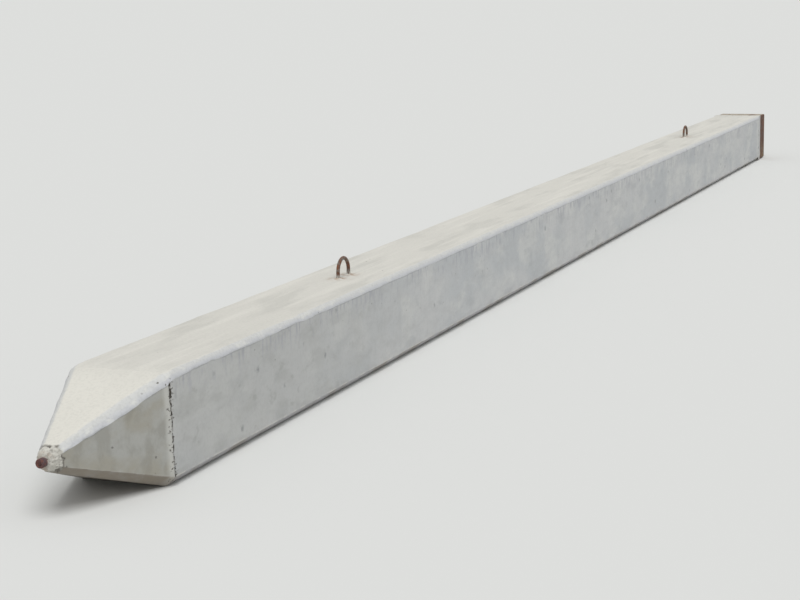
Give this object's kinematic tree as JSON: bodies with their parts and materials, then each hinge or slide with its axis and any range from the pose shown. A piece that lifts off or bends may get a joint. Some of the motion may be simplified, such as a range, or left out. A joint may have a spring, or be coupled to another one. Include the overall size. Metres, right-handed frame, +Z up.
{
  "type": "reinforced concrete pile",
  "caption": "Square precast reinforced concrete driven pile: a toe segment with a tapered, pinned point at one end, a rusted steel splice box at the other, and lifting loops on top.",
  "frame": {"origin": "on the floor, under the middle of the pile's length measured over the toe pin, and on its centre line", "axes": "+X along the pile from the steel splice box to the toe, +Z up, away from the floor; -Y is the side at the viewer's right when facing the toe from the box"},
  "size_m": [10.225, 0.35, 0.43],
  "materials": {
    "concrete": "mould-smooth pale grey concrete, trowelled on top, dry",
    "rusted_plate": "hot-rolled plate with mill scale under brown rust, unpainted",
    "weld_metal": "dressed weld metal, rusted",
    "bar_steel": "round bar, rusted"
  },
  "bodies": {
    "root": {"concrete_body": "concrete", "end_plate": "rusted_plate", "side_plate_top": "rusted_plate", "side_plate_right": "rusted_plate", "side_plate_bottom": "rusted_plate", "side_plate_left": "rusted_plate", "corner_weld_top_left": "weld_metal", "corner_weld_top_right": "weld_metal", "corner_weld_bottom_right": "weld_metal", "corner_weld_bottom_left": "weld_metal", "toe_pin": "bar_steel", "lifting_loop_head": "bar_steel", "lifting_loop_toe": "bar_steel"}
  },
  "joints": []
}
